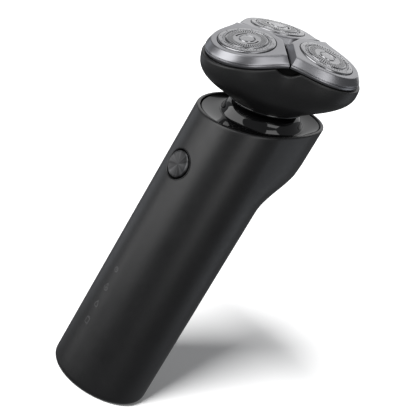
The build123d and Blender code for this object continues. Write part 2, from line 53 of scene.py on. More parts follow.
BACK_POWER = 2.6
BULGE_LOW = 93 * MM         # the back starts to swell here and is fully grown at the next height
BULGE_HIGH = 115 * MM
WALL = 1.8 * MM
BASE_FILLET = 3 * MM
FLOOR = 2.5 * MM
SLANT = radians(19.5)
RIM_HEIGHT = 124.7 * MM
RIM_WALL = 1.3 * MM
HEAD_CENTRE = Vector((0, -4.8, 153.7)) * MM
BUTTON_HEIGHT = 96.7 * MM
HOLE_R = 5.95 * MM
UNIT_OFFSET = 17.2 * MM
UNIT_TILTS = (radians(11), radians(11), radians(4.5))
LOBE_MEAN = 26.9 * MM
LOBE_DEPTH = 5.5 * MM
SLOT = 1.7 * MM
NOTCH_R = 6.6 * MM          # round dips in the bowl's edge, under the slots
NOTCH_CENTRE = 1.0 * MM
UNIT_HEIGHT = 4.0 * MM
UNIT_SEAM = 0.28 * MM       # gap between a unit and the bowl's edge
LOBE_TRIM = 0.07 * MM       # keeps the lobes within the CAD model's box
CAP_HOLE_R = 10.7 * MM
GIMBAL_DROP = 19.5 * MM     # from the shaving plane down to the gimbal's centre
BASE_HOLE_R = 14.5 * MM
WALL_STEPS = 176            # points around the handle, the deck and the collar

# ---- Frames ----
HEAD = Matrix.Translation(HEAD_CENTRE) @ Matrix.Rotation(SLANT, 4, "X")
DECK_DROP = (HEAD_CENTRE.z - RIM_HEIGHT) * cos(SLANT) - HEAD_CENTRE.y * sin(SLANT)
DECK = HEAD @ Matrix.Translation((0, 0, -DECK_DROP))
BUTTON = Matrix.Translation((0, -HANDLE_R, BUTTON_HEIGHT)) @ Matrix.Rotation(pi / 2, 4, "X")


def unit_frame(number):
    """A shaving unit's own frame: its normal is +Z and the head's rim is towards -Y."""
    turn = Matrix.Rotation(radians(120 * number), 4, "Z")
    lean = Matrix.Rotation(UNIT_TILTS[number], 4, "X")
    return HEAD @ turn @ Matrix.Translation((0, -UNIT_OFFSET, 0)) @ lean


# ---- Mesh helpers ----
def finish_piece(obj, body, material, replaced=(), sharp=35):
    """Shading, material and the links to the CAD frame."""
    obj.data.shade_smooth()
    obj.data.set_sharp_from_angle(angle=radians(sharp))
    obj.data.materials.clear()
    obj.data.materials.append(material)
    if replaced:
        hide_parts(*replaced)
    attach(obj, body)


def mesh_object(name, bm):
    bmesh.ops.recalc_face_normals(bm, faces=bm.faces)
    data = bpy.data.meshes.new(name)
    bm.to_mesh(data)
    bm.free()
    obj = bpy.data.objects.new(name, data)
    bpy.context.scene.collection.objects.link(obj)
    return obj


def length_round(row):
    return sum((a.co - b.co).length for a, b in zip(row, row[1:]))


def add_grid(bm, rows, place=Matrix.Identity(4), loop=False, skip=None):
    """Skins closed rows of points; a row of one point is a pole. The UVs are in millimetres."""
    uv = bm.loops.layers.uv.verify()
    made = [[bm.verts.new(place @ Vector(point)) for point in row] for row in rows]
    columns = max(len(row) for row in rows)
    sample = [row[0] for row in made]
    along = [0.0]
    for lower, upper in zip(sample, sample[1:]):
        along.append(along[-1] + (upper.co - lower.co).length / MM)
    widest = max(made, key=length_round)
    around = [0.0]
    for a, b in zip(widest, widest[1:] + widest[:1]):
        around.append(around[-1] + (a.co - b.co).length / MM)
    count = len(made) if loop else len(made) - 1
    for i in range(count):
        low, high = made[i], made[(i + 1) % len(made)]
        v_low, v_high = along[i], along[i + 1] if i + 1 < len(along) else along[i] + 1
        for j in range(columns):
            if skip and skip(i, j):
                continue
            k = (j + 1) % columns
            sides = [(low, j, j, v_low), (low, k, j + 1, v_low)]
            sides += [(high, k, j + 1, v_high), (high, j, j, v_high)]
            verts, uvs = [], []
            for row, index, step, v in sides:
                vert = row[index] if len(row) > 1 else row[0]
                if vert not in verts:
                    verts.append(vert)
                    uvs.append((around[step], v))
            if len(verts) < 3:
                continue
            face = bm.faces.new(verts)
            for corner, value in zip(face.loops, uvs):
                corner[uv].uv = value
    return made


def add_block(bm, rows, place):
    """A closed block between two outlines."""
    made = add_grid(bm, rows, place)
    bm.faces.new(made[0])
    bm.faces.new(made[1])


def apply_modifiers(obj):
    """Keeps what an object's modifiers make as its mesh."""
    bpy.context.view_layer.update()
    graph = bpy.context.evaluated_depsgraph_get()
    data = bpy.data.meshes.new_from_object(obj.evaluated_get(graph))
    obj.modifiers.clear()
    obj.data = data


def thicken(obj, thickness, offset=-1):
    """Solidifies a skin."""
    solid = obj.modifiers.new("thickness", "SOLIDIFY")
    solid.thickness, solid.offset = thickness, offset
    apply_modifiers(obj)


def circle_row(radius, height, count, phase=0.0):
    if radius <= 1e-9:
        return [(0, 0, height)]
    steps = [phase + 2 * pi * step / count for step in range(count)]
    return [(radius * cos(angle), radius * sin(angle), height) for angle in steps]


def turned(name, profile, place, count=128, loop=False):
    """A body of revolution about the frame's Z from (radius, height) pairs in millimetres."""
    bm = bmesh.new()
    add_grid(bm, [circle_row(r * MM, z * MM, count) for r, z in profile], place, loop)
    return mesh_object(name, bm)


def rounded(profile, radius, steps=4):
    """The same profile with its inner corners rounded; radius may be a list, one for each corner."""
    count = len(profile)
    radii = radius if isinstance(radius, (list, tuple)) else [radius] * (count - 2)
    points = [profile[0]]
    for index in range(1, count - 1):
        before, here, after = (Vector(profile[index + shift]) for shift in (-1, 0, 1))
        reach = radii[index - 1]
        if reach <= 0:
            points.append(tuple(here))
            continue
        back, on = before - here, after - here
        reach = min(reach, back.length * 0.49, on.length * 0.49)
        start, end = here + back.normalized() * reach, here + on.normalized() * reach
        for step in range(steps + 1):
            t = step / steps
            points.append(tuple(start * (1 - t) ** 2 + here * 2 * t * (1 - t) + end * t ** 2))
    points.append(profile[-1])
    return points


def smooth_step(value, low, high):
    t = min(1.0, max(0.0, (value - low) / (high - low)))
    return t * t * (3 - 2 * t)


# ---- Materials ----
class Shader:
    """A principled material with short ways to add the nodes it needs."""

    def __init__(self, name, colour, roughness, metallic=0.0):
        self.material = bpy.data.materials.new(name)
        self.material.use_nodes = True
        self.nodes = self.material.node_tree.nodes
        self.links = self.material.node_tree.links
        self.bsdf = self.nodes["Principled BSDF"]
        self.set("Base Color", (*colour, 1))
        self.set("Roughness", roughness)
        self.set("Metallic", metallic)

    def set(self, socket, value):
        self.bsdf.inputs[socket].default_value = value
        return self

    def node(self, kind, **values):
        made = self.nodes.new(kind)
        for key, value in values.items():
            if key.startswith("in_"):
                made.inputs[key[3:].replace("_", " ")].default_value = value
            else:
                setattr(made, key, value)
        return made

    def coordinates(self, kind, scale):
        """Texture coordinates of a kind, scaled on each axis."""
        source = self.node("ShaderNodeTexCoord")
        mapping = self.node("ShaderNodeMapping", in_Scale=scale)
        self.links.new(source.outputs[kind], mapping.inputs["Vector"])
        return mapping.outputs["Vector"]

    def noise(self, kind, scale, detail=4.0, roughness=0.6):
        texture = self.node("ShaderNodeTexNoise", in_Scale=1.0, in_Detail=detail, in_Roughness=roughness)
        self.links.new(self.coordinates(kind, scale), texture.inputs["Vector"])
        return texture.outputs["Fac"]

    def remap(self, value, low, high):
        span = self.node("ShaderNodeMapRange")
        span.inputs["To Min"].default_value = low
        span.inputs["To Max"].default_value = high
        span.inputs["From Min"].default_value = 0.3
        span.inputs["From Max"].default_value = 0.7
        self.links.new(value, span.inputs["Value"])
        return span.outputs["Result"]

    def vary_colour(self, value, first, second):
        ramp = self.node("ShaderNodeValToRGB")
        ramp.color_ramp.elements[0].position = 0.3
        ramp.color_ramp.elements[1].position = 0.7
        ramp.color_ramp.elements[0].color = (*first, 1)
        ramp.color_ramp.elements[1].color = (*second, 1)
        self.links.new(value, ramp.inputs["Fac"])
        self.links.new(ramp.outputs["Color"], self.bsdf.inputs["Base Color"])

    def vary_roughness(self, value, low, high):
        self.links.new(self.remap(value, low, high), self.bsdf.inputs["Roughness"])

    def bump(self, value, strength, distance=0.00005):
        relief = self.node("ShaderNodeBump", in_Strength=strength, in_Distance=distance)
        self.links.new(value, relief.inputs["Height"])
        previous = self.bsdf.inputs["Normal"]
        if previous.is_linked:
            self.links.new(previous.links[0].from_socket, relief.inputs["Normal"])
        self.links.new(relief.outputs["Normal"], previous)


def moulded(name, colour, roughness, grain=9000, strength=0.25, spread=0.06, specular=0.5):
    """Moulded plastic: fine texture, faint tone and gloss changes."""
    shade = Shader(name, colour, roughness)
    light = tuple(channel * 1.18 + 0.002 for channel in colour)
    shade.vary_colour(shade.noise("Object", (90, 90, 90), 3), colour, light)
    shade.vary_roughness(shade.noise("Object", (400, 400, 400), 5), roughness - spread, roughness + spread)
    shade.bump(shade.noise("Object", (grain, grain, grain), 2), strength)
    shade.set("Specular IOR Level", specular)
    return shade.material


def gloss(name, colour, roughness=0.05):
    """Polished black plastic with the faintest haze and unevenness."""
    shade = Shader(name, colour, roughness)
    light = tuple(channel * 1.3 + 0.001 for channel in colour)
    shade.vary_colour(shade.noise("Object", (120, 120, 120), 3), colour, light)
    shade.vary_roughness(shade.noise("Object", (700, 700, 700), 6), roughness, roughness + 0.05)
    shade.bump(shade.noise("Object", (260, 260, 260), 2), 0.05)
    shade.set("Coat Weight", 0.6).set("Coat Roughness", 0.02)
    return shade.material


def brushed(name, colour, roughness, scale, kind="UV", strength=0.3, aniso=0.5, tone=0.16, haze=0.07):
    """Metal with fine lines along one direction, smudged a little."""
    shade = Shader(name, colour, roughness, 1.0)
    lines = shade.noise(kind, scale, 6, 0.7)
    dark = tuple(channel * (1 - tone) for channel in colour)
    light = tuple(min(1.0, channel * (1 + tone)) for channel in colour)
    shade.vary_colour(lines, dark, light)
    smudge = shade.noise("Object", (150, 150, 150), 4)
    shade.vary_roughness(smudge, roughness - haze, roughness + haze)
    shade.bump(lines, strength, 0.00003)
    shade.set("Anisotropic", aniso)
    return shade.material


def spun_button():
    """Dark anodised metal turned on a lathe: fine rings, and the radial fan of highlights they throw,
    painted into the colour as lighter and darker wedges.
    """
    shade = Shader("button_spun", (0.06, 0.06, 0.063), 0.34, 1.0)
    source = shade.node("ShaderNodeTexCoord")
    middle = shade.node("ShaderNodeVectorMath", operation="SUBTRACT")
    middle.inputs[1].default_value = (0, 0, BUTTON_HEIGHT)
    shade.links.new(source.outputs["Object"], middle.inputs[0])
    flat = shade.node("ShaderNodeVectorMath", operation="MULTIPLY")
    flat.inputs[1].default_value = (1, 0, 1)
    shade.links.new(middle.outputs["Vector"], flat.inputs[0])
    spoke = shade.node("ShaderNodeVectorMath", operation="NORMALIZE")
    shade.links.new(flat.outputs["Vector"], spoke.inputs[0])
    # painted highlight: lighter and darker wedges that turn with the direction from the centre stand in for
    # the spun face's radial sheen
    painted_sheen_fan = shade.node("ShaderNodeTexNoise", in_Scale=1.9, in_Detail=1.5, in_Roughness=0.6)
    shade.links.new(spoke.outputs["Vector"], painted_sheen_fan.inputs["Vector"])
    shade.vary_colour(painted_sheen_fan.outputs["Fac"], (0.022, 0.022, 0.0225), (0.11, 0.11, 0.113))
    rings = shade.node("ShaderNodeTexWave", wave_type="RINGS", rings_direction="Y")
    rings.inputs["Scale"].default_value = 5000
    rings.inputs["Distortion"].default_value = 0.4
    shade.links.new(middle.outputs["Vector"], rings.inputs["Vector"])
    shade.bump(rings.outputs["Fac"], 0.05, 0.00002)
    shade.vary_roughness(shade.noise("Object", (600, 600, 600), 4), 0.3, 0.38)
    return shade.material


def coloured_board():
    """Solder mask with copper tracks showing through."""
    shade = Shader("board_mask", (0.02, 0.12, 0.05), 0.35)
    tracks = shade.node("ShaderNodeTexBrick", in_Scale=1.0)
    tracks.inputs["Color1"].default_value = (0.015, 0.11, 0.045, 1)
    tracks.inputs["Color2"].default_value = (0.02, 0.15, 0.06, 1)
    tracks.inputs["Mortar"].default_value = (0.05, 0.22, 0.08, 1)
    shade.links.new(shade.coordinates("Object", (900, 900, 900)), tracks.inputs["Vector"])
    shade.links.new(tracks.outputs["Color"], shade.bsdf.inputs["Base Color"])
    shade.bump(shade.noise("Object", (1500, 1500, 1500), 3), 0.2)
    return shade.material


def clear_plastic():
    shade = Shader("clear_moulded", (0.75, 0.78, 0.8), 0.12)
    shade.vary_roughness(shade.noise("Object", (500, 500, 500), 3), 0.08, 0.2)
    shade.bump(shade.noise("Object", (800, 800, 800), 2), 0.1)
    shade.set("Transmission Weight", 0.5)
    return shade.material


M = {
    "handle": moulded("handle_matt", (0.0080, 0.0080, 0.0085), 0.38, 14000, 0.12, 0.03),
    "bowl": moulded("bowl_matt", (0.0080, 0.0080, 0.0083), 0.42, 12000, 0.12, 0.03),
    "gloss": gloss("piano_black", (0.006, 0.006, 0.0065)),
    "inner": moulded("inner_moulded", (0.05, 0.05, 0.052), 0.5),
    # near-black and barely glossy: the cutter frame's own colour, and painted shade where the notch screens
    # use it
    "frame": moulded("frame_black_and_shade", (0.002, 0.002, 0.002), 0.75, specular=0.12),
    "gear": moulded("acetal", (0.72, 0.70, 0.65), 0.38, 6000, 0.15),
    "rubber": moulded("silicone_soft", (0.012, 0.012, 0.013), 0.7, 5000, 0.3),
    "chip": moulded("chip_epoxy", (0.02, 0.02, 0.021), 0.55),
    "wrap": moulded("cell_wrap", (0.03, 0.10, 0.26), 0.3, 4000, 0.1),
    "icon": moulded("icon_smoke", (0.05, 0.05, 0.052), 0.3, 9000, 0.1),
    "unit": brushed("unit_brushed", (0.268, 0.268, 0.282), 0.29, (0.25, 7, 1),
                    strength=0.012, aniso=0.45, tone=0.025, haze=0.012),
    "cap": brushed("cap_spun", (0.30, 0.30, 0.31), 0.22, (0.25, 9, 1),
                   strength=0.012, aniso=0.3, tone=0.03, haze=0.012),
    "cutter": brushed("cutter_ground", (0.09, 0.09, 0.093), 0.42, (500, 500, 9000), "Object"),
    "steel": brushed("steel_turned", (0.40, 0.40, 0.41), 0.34, (600, 600, 8000), "Object"),
    "screw": brushed("screw_plated", (0.30, 0.30, 0.31), 0.36, (3000, 3000, 900), "Object"),
    "spring": brushed("spring_wire", (0.46, 0.46, 0.47), 0.25, (2500, 2500, 800), "Object"),
    "nickel": brushed("nickel_strip", (0.50, 0.47, 0.42), 0.33, (700, 5000, 700), "Object"),
    "magnet": brushed("magnet_plate", (0.36, 0.36, 0.37), 0.28, (900, 900, 900), "Object"),
    "core": brushed("laminated_core", (0.33, 0.22, 0.15), 0.4, (300, 300, 9000), "Object", 0.5),
    "button": spun_button(),
    "board": coloured_board(),
    "clear": clear_plastic(),
}


# ---- Handle ----
def wall_point(angle, height, inset):
    """A point of the handle's wall: round in front, swelling to a squarer back."""
    growth = smooth_step(height, BULGE_LOW, BULGE_HIGH)
    side = HANDLE_R - inset
    across, along = cos(angle), sin(angle)
    if along <= 1e-9:
        return Vector((side * across, side * along, height))
    back = HANDLE_R + (HANDLE_BACK - HANDLE_R) * growth - inset
    power = 2 / (2 + (BACK_POWER - 2) * growth)
    sign = 1 if across > 0 else -1
    return Vector((side * sign * abs(across) ** power, back * along ** power, height))


def wall_angles(count):
    """Evenly spaced angles, with none of them at the sides, the front or the back."""
    return [2 * pi * (step + 0.5) / count - pi / 2 for step in range(count)]


def rim_corner(angle, inset=0.0):
    """Where the wall meets the rim's plane, and the direction in the plane towards the inside."""
    point = wall_point(angle, BULGE_HIGH + 1 * MM, inset)
    ahead = wall_point(angle + 0.02, BULGE_HIGH + 1 * MM, inset)
    behind = wall_point(angle - 0.02, BULGE_HIGH + 1 * MM, inset)
    run = ahead - behind
    inward = Vector((-run.y, run.x, 0)).normalized()
    point.z = RIM_HEIGHT + tan(SLANT) * point.y
    return point, Vector((inward.x, inward.y, inward.y * tan(SLANT)))


def handle_rows(angles):
    rows = []
    foot = HANDLE_R - BASE_FILLET
    rows.append([Vector((BASE_HOLE_R * cos(a), BASE_HOLE_R * sin(a), 0)) for a in angles])
    rows.append([Vector(((foot - 0.4 * MM) * cos(a), (foot - 0.4 * MM) * sin(a), 0)) for a in angles])
    for step in range(9):
        turn = pi / 2 * step / 8
        radius, height = foot + BASE_FILLET * sin(turn), BASE_FILLET * (1 - cos(turn))
        rows.append([Vector((radius * cos(a), radius * sin(a), height)) for a in angles])
    for height in [8, 16, 24, 32, 40, 48, 56, 64, 72, 80] + list(range(84, 113, 2)):
        rows.append([wall_point(a, height * MM, 0) for a in angles])
    corners = [rim_corner(a) for a in angles]
    radius = 0.75 * MM
    for share in (0.25, 0.5, 0.75, 0.93):
        row = []
        for angle, (corner, _) in zip(angles, corners):
            height = 112 * MM + (corner.z - radius - 112 * MM) * share
            row.append(wall_point(angle, height, 0))
        rows.append(row)
    for step in range(6):
        t = step / 5
        row = []
        for corner, inward in corners:
            start, end = corner - Vector((0, 0, radius)), corner + inward * radius
            row.append(start * (1 - t) ** 2 + corner * 2 * t * (1 - t) + end * t ** 2)
        rows.append(row)
    for across, down in ((RIM_WALL - 0.15 * MM, 0), (RIM_WALL, 0.15 * MM), (RIM_WALL, 3.2 * MM)):
        rows.append([corner + inward * across - Vector((0, 0, down)) for corner, inward in corners])
    for height in (110, 100, 90, 80, 40, 2.5):
        rows.append([wall_point(a, height * MM, WALL) for a in angles])
    rows.append([Vector((BASE_HOLE_R * cos(a), BASE_HOLE_R * sin(a), FLOOR)) for a in angles])
    return rows


def handle_shell():
    angles = wall_angles(WALL_STEPS)
    bm = bmesh.new()
    add_grid(bm, handle_rows(angles), loop=True)
    shell = mesh_object("handle_shell_skin", bm)
    cut_r = HOLE_R + 0.3 * MM
    bm = bmesh.new()
    rows = [circle_row(cut_r, z * MM, 96) for z in (-6, 4)]
    add_grid(bm, [[(0, 0, -6 * MM)]] + rows + [[(0, 0, 4 * MM)]], BUTTON)
    cutter = mesh_object("hole_tool", bm)
    hole = shell.modifiers.new("button_hole", "BOOLEAN")
    hole.operation, hole.solver, hole.object = "DIFFERENCE", "EXACT", cutter
    apply_modifiers(shell)
    bpy.data.objects.remove(cutter)
    finish_piece(shell, "handle", M["handle"], ["handle_shell"], 50)


def button_well():
    """Rounded lip and dark wall of the button's hole, following the handle's curve."""
    bm = bmesh.new()
    rows = []
    for out, down in ((0.33, 0.0), (0.24, 0.015), (0.12, 0.07), (0.04, 0.16), (0.0, 0.3), (0.0, 3.2)):
        row = []
        for step in range(96):
            angle = 2 * pi * step / 96
            radius = HOLE_R + out * MM
            x, z = radius * cos(angle), radius * sin(angle)
            surface = -(HANDLE_R ** 2 - x * x) ** 0.5
            row.append((x, surface + down * MM, BUTTON_HEIGHT + z))
        rows.append(row)
    add_grid(bm, rows)
    well = mesh_object("button_well", bm)
    thicken(well, 0.25 * MM, 1)
    finish_piece(well, "handle", M["handle"])


def power_button():
    """Spun face, slightly dished, with a bright bevel."""
    top = 0.12
    corners = [
        (0.0, -0.28), (3.0, -0.24), (4.55, -0.1), (4.85, top - 0.12), (5.3, top - 0.42),
        (5.4, -0.9), (5.4, -2.3), (2.1, -2.3), (2.1, -7.0), (0, -7.0),
    ]
    profile = rounded(corners, [0, 0.4, 0.12, 0.12, 0.1, 0, 0, 0])
    button = turned("power_button_face", profile, BUTTON, 144)
    finish_piece(button, "button", M["button"], ["power_button"], 28)


def icon_outlines():
    """Generic status marks as closed outlines, in millimetres; each mark is a list of groups of loops."""
    stroke = 0.38

    def circle(radius, y=0.0):
        return [(radius * cos(pi * k / 12), y + radius * sin(pi * k / 12)) for k in range(24)]

    def drop(size, y):
        turns = [radians(33.7 - (247.4 * step) / 20) for step in range(21)]
        return [(size * cos(t), y + size * sin(t)) for t in turns] + [(0, y + 1.8 * size)]

    def box(half, low, high):
        return [(-half, low), (half, low), (half, high), (-half, high)]

    cell = box(1.1, -1.4, 1.4)[:3] + [(0.5, 1.4), (0.5, 1.75), (-0.5, 1.75), (-0.5, 1.4), (-1.1, 1.4)]
    return [
        (49.0, [[circle(1.1), circle(1.1 - stroke)], [circle(0.3)]]),
        (41.0, [[drop(1.25, -0.5), drop(1.25 - stroke, -0.5)], [drop(0.4, -0.51)]]),
        (33.0, [[drop(1.1, -0.44), drop(1.1 - stroke, -0.44)]]),
        (25.0, [[cell, box(1.1 - stroke, -1.4 + stroke, 1.4 - stroke)]]),
    ]


def status_icons():
    """Thin inlays that follow the handle's curve."""
    bm = bmesh.new()
    radius = HANDLE_R + 0.012 * MM
    for height, shapes in icon_outlines():
        for loops in shapes:
            edges, corners = [], []
            for loop in loops:
                verts = [bm.verts.new((x * MM, z * MM, 0)) for x, z in loop]
                edges += [bm.edges.new(pair) for pair in zip(verts, verts[1:] + verts[:1])]
                corners += verts
            bmesh.ops.triangle_fill(bm, use_beauty=True, edges=edges)
            for vert in corners:
                angle = vert.co.x / HANDLE_R
                up = height * MM + vert.co.y
                vert.co = Vector((radius * sin(angle), -radius * cos(angle), up))
    icons = mesh_object("status_marks", bm)
    thicken(icons, 0.1 * MM, 0)
    finish_piece(icons, "handle", M["icon"], ["status_icons"])


# ---- Deck and neck ----
def deck_plate():
    """Glossy dish: flat where the neck stands, rising evenly to the rim."""
    inverse = DECK.inverted()
    rows = []
    edge = []
    for angle in wall_angles(WALL_STEPS):
        corner, inward = rim_corner(angle)
        edge.append(inverse @ (corner + inward * (RIM_WALL + 0.42 * MM)))
    directions = [atan2(point.y, point.x) for point in edge]
    inside = [(4.0, 1.0), (4.2, 1.2), (7.4, 1.2), (7.6, 1.0), (7.6, -1.2), (7.9, -1.5), (16.6, -1.5)]
    for radius, height in inside:
        rows.append([(radius * MM * cos(a), radius * MM * sin(a), height * MM) for a in directions])
    for share in (0.0, 0.08, 0.18, 0.3, 0.44, 0.58, 0.72, 0.84, 0.92, 0.97, 1.0):
        row = []
        for point, a in zip(edge, directions):
            outer = hypot(point.x, point.y) - 0.35 * MM
            start = min(17.2 * MM, outer - 0.6 * MM)
            radius = start + (outer - start) * share
            height = -1.5 * MM + 1.0 * MM * share ** 1.8
            row.append((radius * cos(a), radius * sin(a), height))
        rows.append(row)
    for drop, back in ((0.56, 0.14), (0.72, 0.03), (0.95, 0.0), (4.0, 0.0)):
        row = []
        for point, a in zip(edge, directions):
            radius = hypot(point.x, point.y) - back * MM
            row.append((radius * cos(a), radius * sin(a), -drop * MM))
        rows.append(row)
    rows.append([(4.0 * MM * cos(a), 4.0 * MM * sin(a), -4.0 * MM) for a in directions])
    bm = bmesh.new()
    add_grid(bm, rows, DECK, loop=True)
    plate = mesh_object("deck_dish", bm)
    finish_piece(plate, "handle", M["gloss"], ["deck_plate"], 40)


def neck_collar():
    """Glossy collar that flares into the dish below; its two pivot ears are added at the sides."""
    centre, bulge = (11.5606, -0.4592), 3.6161
    shoulder, crown = (14.95, 0.8), (12.2, 3.1)
    start, end = (atan2(y - centre[1], x - centre[0]) for x, y in (shoulder, crown))
    foot, bend, top = Vector((16.6, -1.42)), Vector((15.76, -1.38)), Vector(shoulder)
    profile = [(7.8, -1.45), (16.56, -1.45)]
    for step in range(12):
        t = step / 12
        profile.append(tuple(foot * (1 - t) ** 2 + bend * 2 * t * (1 - t) + top * t ** 2))
    for step in range(25):
        turn = start + (end - start) * step / 24
        profile.append((centre[0] + bulge * cos(turn), centre[1] + bulge * sin(turn)))
    profile += [(11.4, 3.25), (10.75, 3.4), (10.6, 3.55), (10.6, 5.6), (10.5, 5.7), (9.3, 5.7), (9.2, 5.6)]
    profile += [(9.2, 2.2), (12.2, 1.7), (13.0, 0.9), (13.0, -0.25), (7.8, -0.25)]
    collar = turned("neck_collar_skin", profile, DECK, WALL_STEPS, loop=True)
    finish_piece(collar, "neck", M["gloss"], ["neck_collar"], 40)
    ears = bmesh.new()
    pivot = DECK_DROP - GIMBAL_DROP
    for side in (0, pi):
        rows = []
        for radius in (9.2, 10.6):
            row = []
            for across, up in ((-2.8, -3.8), (2.8, -3.8), (2.8, 0.6), (2.0, 1.7), (-2.0, 1.7), (-2.8, 0.6)):
                turn = asin(across / radius)
                row.append((radius * MM * cos(turn), radius * MM * sin(turn), pivot + up * MM))
            rows.append(row)
        add_block(ears, rows, DECK @ Matrix.Rotation(side, 4, "Z"))
    ear_piece = mesh_object("neck_ears", ears)
    finish_piece(ear_piece, "neck", M["gloss"])


# ---- Head ----
def lobe_radius(angle, mean, depth):
    """Three-lobed outline; angle 0 is the middle of a lobe."""
    return mean - LOBE_TRIM + depth * cos(3 * angle) - 0.044 * depth * cos(6 * angle)


BOWL = (                   # height, mean radius and lobe depth
    (0, 26.9, 5.5), (-5, 26.9, 5.5), (-9.3, 26.85, 5.45), (-12, 26.3, 5.2), (-14.6, 24.9, 4.5),
    (-17.4, 22.5, 3.1), (-20, 19.3, 1.6), (-22, 16.6, 0.6), (-23.4, 14.6, 0.0),
)


def bowl_size(height):
    """Mean radius and lobe depth of the bowl at a height, smoothly between its stations."""
    for index in range(len(BOWL) - 1):
        top, bottom = BOWL[index], BOWL[index + 1]
        if height >= bottom[0] or index == len(BOWL) - 2:
            t = (top[0] - height) / (top[0] - bottom[0])
            before = BOWL[max(0, index - 1)]
            after = BOWL[min(len(BOWL) - 1, index + 2)]
            sizes = []
            for k in (1, 2):
                slope_in = (bottom[k] - before[k]) / max(1e-6, before[0] - bottom[0]) * (top[0] - bottom[0])
                slope_out = (after[k] - top[k]) / max(1e-6, top[0] - after[0]) * (top[0] - bottom[0])
                if index == 0:
                    slope_in = 0.0
                h00, h10 = 2 * t ** 3 - 3 * t ** 2 + 1, t ** 3 - 2 * t ** 2 + t
                h01, h11 = -2 * t ** 3 + 3 * t ** 2, t ** 3 - t ** 2
                sizes.append(h00 * top[k] + h10 * slope_in + h01 * bottom[k] + h11 * slope_out)
            return sizes


def edge_height(radius, angle, depth_below):
    """Height of the bowl's edge: parallel to the nearest unit's face, dipping under the slots."""
    number = int(((angle + pi / 3) % (2 * pi)) // (2 * pi / 3))
    away = (angle + pi / 3) % (2 * pi / 3) - pi / 3
    tilt = UNIT_TILTS[number]
    outward = radius * cos(away) - UNIT_OFFSET
    edge = (-depth_below - outward * sin(tilt)) / cos(tilt)
    aside = radius * sin(pi / 3 - abs(away))
    if aside < NOTCH_R:
        edge = min(edge, NOTCH_CENTRE - (NOTCH_R ** 2 - aside ** 2) ** 0.5)
    return edge


def head_shell():
    """Matt bowl: lobed above, round below, its edge following the tilted units."""
    angles = [2 * pi * step / 240 for step in range(240)]
    bottom = -23.35
    rows = []

    def row_at(inset, share, top_drop):
        row = []
        for angle in angles:
            edge_radius = lobe_radius(angle, LOBE_MEAN - inset * MM, LOBE_DEPTH)
            top = edge_height(edge_radius, angle, UNIT_HEIGHT + UNIT_SEAM) / MM - top_drop
            height = top + (bottom - top) * share
            mean, depth = bowl_size(height)
            radius = lobe_radius(angle, (mean - inset) * MM, depth * MM)
            row.append((radius * sin(angle), -radius * cos(angle), height * MM))
        return row

    rows.append(row_at(0.9, 0, 0))
    rows.append(row_at(0.3, 0, 0))
    rows.append(row_at(0.09, 0, 0.08))
    rows.append(row_at(0.0, 0, 0.3))
    for step in range(1, 29):
        rows.append(row_at(0.0, step / 28, 0.3))
    rows.append(row_at(1.6, 1.0, 0))
    for step in range(9, -1, -1):
        rows.append(row_at(1.8, step / 10, 0.25))
    rows.append(row_at(1.55, 0, 0))
    bm = bmesh.new()
    add_grid(bm, rows, HEAD, loop=True)
    shell = mesh_object("head_bowl", bm)
    finish_piece(shell, "head", M["bowl"], ["head_shell"], 50)


def shell_ring():
    """Polished lip around the bowl's mouth."""
    corners = [
        (13.6, -23.35), (14.3, -23.35), (14.62, -23.75), (14.45, -24.25), (13.6, -24.35),
        (12.8, -24.2), (12.7, -23.5), (13.0, -23.35), (13.6, -23.35),
    ]
    profile = rounded(corners, 0.18)
    lip = turned("bowl_lip", profile[:-1], HEAD, 160, loop=True)
    finish_piece(lip, "head", M["gloss"], ["shell_ring"], 60)


def notch_screens():
    """Dark walls behind the dips in the bowl's edge: painted shade, so that no light shows through the head.
    """
    bm = bmesh.new()
    for number, (middle, side) in enumerate(((-3.3, -3.75), (-4.1, -4.15), (-4.1, -4.15))):
        place = HEAD @ Matrix.Rotation(radians(120 * number + 60), 4, "Z")
        wall = [(-5, -5.9), (5, -5.9), (5, side), (1, middle), (-1, middle), (-5, side)]
        rows = [[(x * MM, y * MM, z * MM) for x, z in wall] for y in (-19.1, -18.5)]
        add_block(bm, rows, place)
    screens = mesh_object("notch_screens", bm)
    finish_piece(screens, "head", M["frame"])


LUG_ASIDE = 12.9 * MM
PIN_DROP = 4.4 * MM
SLITS = 48
SLIT_PITCH = 2 * pi / SLITS
SLIT_START = 5.0            # the next radius in the profile ends the slits, and so with the crescents
CRESCENT_START = 3.9
DOTS = 12
DOT_CIRCLE = 9.5 * MM
CAP_PROFILE = (             # radius and height, from the hub outwards, in millimetres
    (0, 0.96), (1.2, 0.96), (2.35, 0.95), (2.55, 0.9), (2.66, 0.66), (2.82, 0.52), (3.0, 0.62),
    (3.12, 0.78), (CRESCENT_START, 0.8), (4.5, 0.82), (4.75, 0.84), (SLIT_START, 0.84), (7.1, 0.8),
    (7.35, 0.75), (7.52, 0.62), (7.6, 0.42), (7.66, 0.22), (7.8, 0.14), (7.95, 0.2), (8.02, 0.4),
    (8.12, 0.52), (8.3, 0.56), (9.0, 0.54), (9.8, 0.46), (10.15, 0.38), (10.36, 0.24), (10.46, 0.06),
    (10.5, -0.2), (10.5, -1.2),
)
UNIT_LEVELS = (             # depth below the face, gap at the slots, length of the slots' open corner
    (0.0, 3.4, 5.0), (0.35, 3.05, 4.8), (2.6, 1.55, 3.8), (2.75, 1.4, 3.6), (4.0, 1.6, 3.6),
)


def unit_sides(down):
    """Slot gap and corner length at a depth below the face, in millimetres."""
    for (upper, gap_a, tip_a), (lower, gap_b, tip_b) in zip(UNIT_LEVELS, UNIT_LEVELS[1:]):
        if down <= lower:
            share = (down - upper) / (lower - upper)
            return gap_a + (gap_b - gap_a) * share, tip_a + (tip_b - tip_a) * share
    return UNIT_LEVELS[-1][1:]


